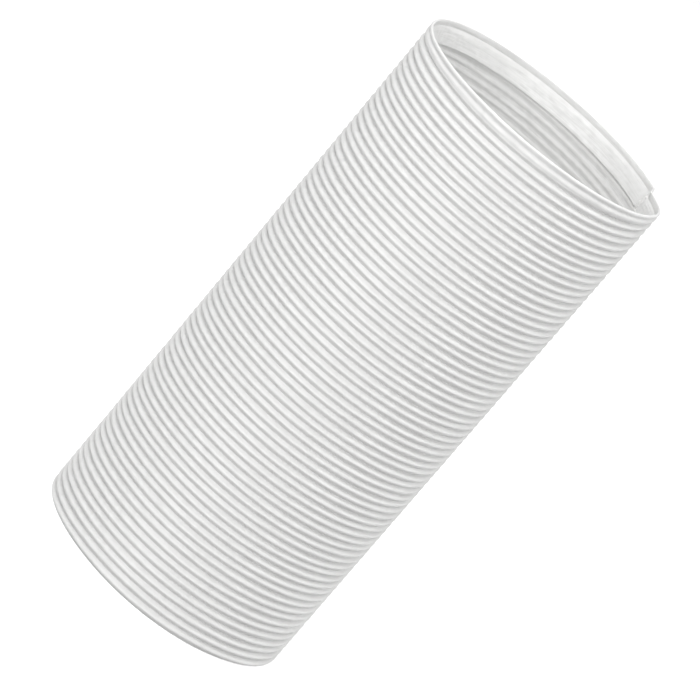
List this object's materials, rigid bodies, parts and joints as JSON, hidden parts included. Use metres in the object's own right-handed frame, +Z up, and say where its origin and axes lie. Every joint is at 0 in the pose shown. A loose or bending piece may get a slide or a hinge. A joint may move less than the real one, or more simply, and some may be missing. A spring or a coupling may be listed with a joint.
{
  "type": "air conditioner exhaust hose",
  "caption": "White flexible exhaust hose for a portable air conditioner, wound from a plastic strip and pushed together to its short length, with fine waves all along it.",
  "frame": {"origin": "centre of the lower end, on the floor", "axes": "+Z up along the hose's axis towards the end with the level rim, +X towards the side beside the strip's cut end, -Y towards the picture's camera"},
  "size_m": [0.15, 0.15, 0.316],
  "materials": {
    "white_polypropylene": "smooth moulded white polypropylene with a soft sheen"
  },
  "bodies": {
    "root": {"exhaust_hose": "white_polypropylene"}
  },
  "joints": []
}
